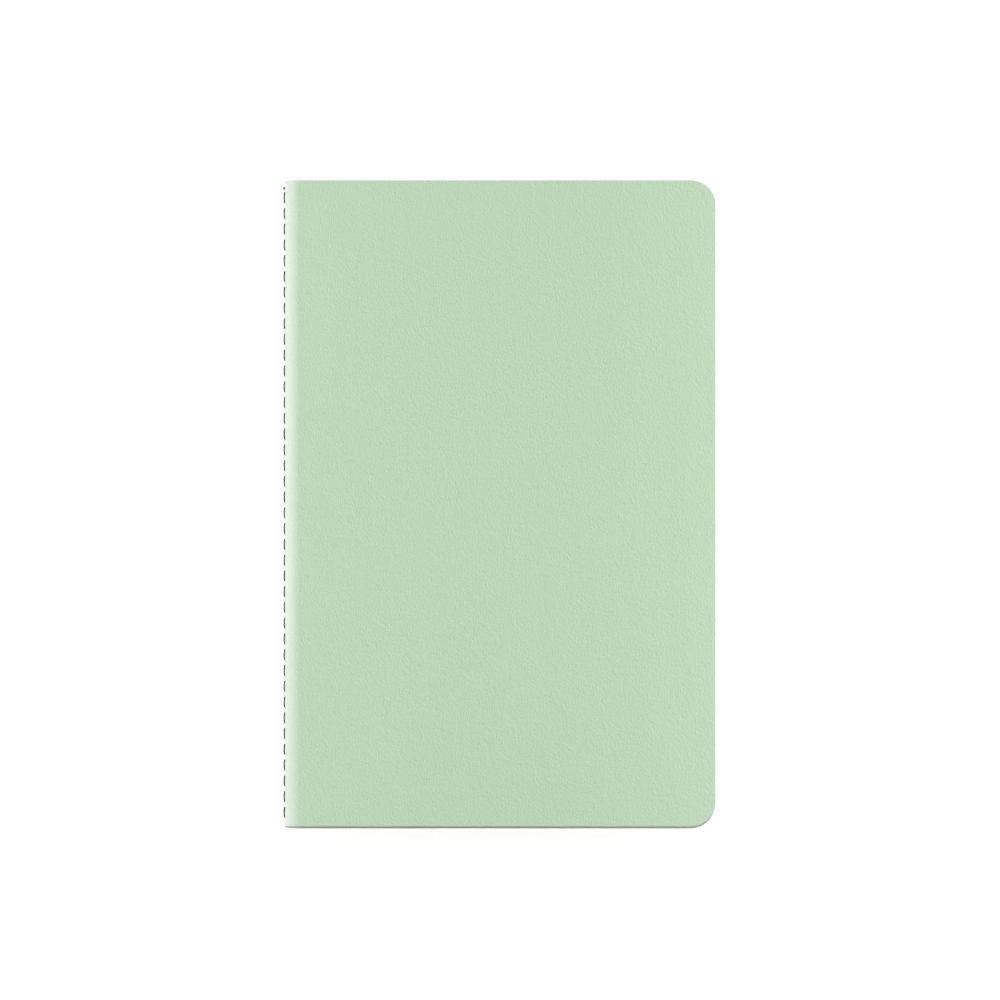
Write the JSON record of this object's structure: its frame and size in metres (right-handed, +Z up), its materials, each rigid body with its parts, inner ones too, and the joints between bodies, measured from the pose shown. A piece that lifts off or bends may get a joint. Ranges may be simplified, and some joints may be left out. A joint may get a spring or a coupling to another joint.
{
  "type": "notepad",
  "caption": "Slim soft-cover notepad: folded sheets in a wrap-round card cover with two rounded corners, held by a dark running stitch through the spine fold.",
  "frame": {"origin": "middle of the underside of the closed pad, on the outer face of the back cover", "axes": "+X from the spine to the fore-edge, +Y from tail to head, +Z up out of the front cover"},
  "size_m": [0.1406, 0.21, 0.0064],
  "materials": {
    "cover_card": "matte",
    "writing_paper": "matte",
    "thread": "matte"
  },
  "bodies": {
    "back_half": {"cover_back": "cover_card", "cover_spine": "cover_card", "sheet_01_back_leaf": "writing_paper", "sheet_02_back_leaf": "writing_paper", "sheet_03_back_leaf": "writing_paper", "sheet_04_back_leaf": "writing_paper", "sheet_05_back_leaf": "writing_paper", "sheet_06_back_leaf": "writing_paper", "sheet_07_back_leaf": "writing_paper", "sheet_08_back_leaf": "writing_paper", "sheet_09_back_leaf": "writing_paper", "sheet_10_back_leaf": "writing_paper", "sheet_11_back_leaf": "writing_paper", "sheet_12_back_leaf": "writing_paper", "sheet_13_back_leaf": "writing_paper", "sheet_14_back_leaf": "writing_paper", "sheet_15_back_leaf": "writing_paper", "sheet_16_back_leaf": "writing_paper", "sheet_17_back_leaf": "writing_paper", "sheet_18_back_leaf": "writing_paper", "sheet_19_back_leaf": "writing_paper", "sheet_20_back_leaf": "writing_paper", "sheet_folds": "writing_paper", "sewing_thread": "thread"},
    "leaf_01": {"sheet_01_front_leaf": "writing_paper"},
    "leaf_02": {"sheet_02_front_leaf": "writing_paper"},
    "leaf_03": {"sheet_03_front_leaf": "writing_paper"},
    "leaf_04": {"sheet_04_front_leaf": "writing_paper"},
    "leaf_05": {"sheet_05_front_leaf": "writing_paper"},
    "leaf_06": {"sheet_06_front_leaf": "writing_paper"},
    "leaf_07": {"sheet_07_front_leaf": "writing_paper"},
    "leaf_08": {"sheet_08_front_leaf": "writing_paper"},
    "leaf_09": {"sheet_09_front_leaf": "writing_paper"},
    "leaf_10": {"sheet_10_front_leaf": "writing_paper"},
    "leaf_11": {"sheet_11_front_leaf": "writing_paper"},
    "leaf_12": {"sheet_12_front_leaf": "writing_paper"},
    "leaf_13": {"sheet_13_front_leaf": "writing_paper"},
    "leaf_14": {"sheet_14_front_leaf": "writing_paper"},
    "leaf_15": {"sheet_15_front_leaf": "writing_paper"},
    "leaf_16": {"sheet_16_front_leaf": "writing_paper"},
    "leaf_17": {"sheet_17_front_leaf": "writing_paper"},
    "leaf_18": {"sheet_18_front_leaf": "writing_paper"},
    "leaf_19": {"sheet_19_front_leaf": "writing_paper"},
    "leaf_20": {"sheet_20_front_leaf": "writing_paper"},
    "front_cover": {"cover_front": "cover_card"}
  },
  "joints": [
    {"name": "leaf_01_turn", "type": "hinge", "parent": "back_half", "child": "leaf_01", "pos_m": [-0.06648, 0, 0.0032], "axis": [0, -1, 0], "range_deg": [0, 179.8], "deforming": ["cover_spine", "sheet_folds", "sewing_thread"]},
    {"name": "leaf_02_turn", "type": "hinge", "parent": "back_half", "child": "leaf_02", "pos_m": [-0.06648, 0, 0.0032], "axis": [0, -1, 0], "range_deg": [0, 179.8]},
    {"name": "leaf_03_turn", "type": "hinge", "parent": "back_half", "child": "leaf_03", "pos_m": [-0.06648, 0, 0.0032], "axis": [0, -1, 0], "range_deg": [0, 179.8]},
    {"name": "leaf_04_turn", "type": "hinge", "parent": "back_half", "child": "leaf_04", "pos_m": [-0.06648, 0, 0.0032], "axis": [0, -1, 0], "range_deg": [0, 179.8]},
    {"name": "leaf_05_turn", "type": "hinge", "parent": "back_half", "child": "leaf_05", "pos_m": [-0.06648, 0, 0.0032], "axis": [0, -1, 0], "range_deg": [0, 179.8]},
    {"name": "leaf_06_turn", "type": "hinge", "parent": "back_half", "child": "leaf_06", "pos_m": [-0.06648, 0, 0.0032], "axis": [0, -1, 0], "range_deg": [0, 179.8]},
    {"name": "leaf_07_turn", "type": "hinge", "parent": "back_half", "child": "leaf_07", "pos_m": [-0.06648, 0, 0.0032], "axis": [0, -1, 0], "range_deg": [0, 179.8]},
    {"name": "leaf_08_turn", "type": "hinge", "parent": "back_half", "child": "leaf_08", "pos_m": [-0.06648, 0, 0.0032], "axis": [0, -1, 0], "range_deg": [0, 179.8]},
    {"name": "leaf_09_turn", "type": "hinge", "parent": "back_half", "child": "leaf_09", "pos_m": [-0.06648, 0, 0.0032], "axis": [0, -1, 0], "range_deg": [0, 179.8]},
    {"name": "leaf_10_turn", "type": "hinge", "parent": "back_half", "child": "leaf_10", "pos_m": [-0.06648, 0, 0.0032], "axis": [0, -1, 0], "range_deg": [0, 179.8]},
    {"name": "leaf_11_turn", "type": "hinge", "parent": "back_half", "child": "leaf_11", "pos_m": [-0.06648, 0, 0.0032], "axis": [0, -1, 0], "range_deg": [0, 179.8]},
    {"name": "leaf_12_turn", "type": "hinge", "parent": "back_half", "child": "leaf_12", "pos_m": [-0.06648, 0, 0.0032], "axis": [0, -1, 0], "range_deg": [0, 179.8]},
    {"name": "leaf_13_turn", "type": "hinge", "parent": "back_half", "child": "leaf_13", "pos_m": [-0.06648, 0, 0.0032], "axis": [0, -1, 0], "range_deg": [0, 179.8]},
    {"name": "leaf_14_turn", "type": "hinge", "parent": "back_half", "child": "leaf_14", "pos_m": [-0.06648, 0, 0.0032], "axis": [0, -1, 0], "range_deg": [0, 179.8]},
    {"name": "leaf_15_turn", "type": "hinge", "parent": "back_half", "child": "leaf_15", "pos_m": [-0.06648, 0, 0.0032], "axis": [0, -1, 0], "range_deg": [0, 179.8]},
    {"name": "leaf_16_turn", "type": "hinge", "parent": "back_half", "child": "leaf_16", "pos_m": [-0.06648, 0, 0.0032], "axis": [0, -1, 0], "range_deg": [0, 179.8]},
    {"name": "leaf_17_turn", "type": "hinge", "parent": "back_half", "child": "leaf_17", "pos_m": [-0.06648, 0, 0.0032], "axis": [0, -1, 0], "range_deg": [0, 179.8]},
    {"name": "leaf_18_turn", "type": "hinge", "parent": "back_half", "child": "leaf_18", "pos_m": [-0.06648, 0, 0.0032], "axis": [0, -1, 0], "range_deg": [0, 179.8]},
    {"name": "leaf_19_turn", "type": "hinge", "parent": "back_half", "child": "leaf_19", "pos_m": [-0.06648, 0, 0.0032], "axis": [0, -1, 0], "range_deg": [0, 179.8]},
    {"name": "leaf_20_turn", "type": "hinge", "parent": "back_half", "child": "leaf_20", "pos_m": [-0.06648, 0, 0.0032], "axis": [0, -1, 0], "range_deg": [0, 179.8]},
    {"name": "cover_open", "type": "hinge", "parent": "leaf_01", "child": "front_cover", "pos_m": [-0.06648, 0, 0.00643], "axis": [0, -1, 0], "range_deg": [0, 179.8]}
  ],
  "couplings": [
    {"joint": "leaf_02_turn", "follows": "leaf_01_turn", "ratio": 0.99912},
    {"joint": "leaf_03_turn", "follows": "leaf_01_turn", "ratio": 0.99824},
    {"joint": "leaf_04_turn", "follows": "leaf_01_turn", "ratio": 0.99736},
    {"joint": "leaf_05_turn", "follows": "leaf_01_turn", "ratio": 0.99649},
    {"joint": "leaf_06_turn", "follows": "leaf_01_turn", "ratio": 0.99561},
    {"joint": "leaf_07_turn", "follows": "leaf_01_turn", "ratio": 0.99473},
    {"joint": "leaf_08_turn", "follows": "leaf_01_turn", "ratio": 0.99385},
    {"joint": "leaf_09_turn", "follows": "leaf_01_turn", "ratio": 0.99298},
    {"joint": "leaf_10_turn", "follows": "leaf_01_turn", "ratio": 0.9921},
    {"joint": "leaf_11_turn", "follows": "leaf_01_turn", "ratio": 0.99122},
    {"joint": "leaf_12_turn", "follows": "leaf_01_turn", "ratio": 0.99034},
    {"joint": "leaf_13_turn", "follows": "leaf_01_turn", "ratio": 0.98946},
    {"joint": "leaf_14_turn", "follows": "leaf_01_turn", "ratio": 0.98858},
    {"joint": "leaf_15_turn", "follows": "leaf_01_turn", "ratio": 0.98771},
    {"joint": "leaf_16_turn", "follows": "leaf_01_turn", "ratio": 0.98683},
    {"joint": "leaf_17_turn", "follows": "leaf_01_turn", "ratio": 0.98595},
    {"joint": "leaf_18_turn", "follows": "leaf_01_turn", "ratio": 0.98507},
    {"joint": "leaf_19_turn", "follows": "leaf_01_turn", "ratio": 0.98419},
    {"joint": "leaf_20_turn", "follows": "leaf_01_turn", "ratio": 0.98332}
  ]
}
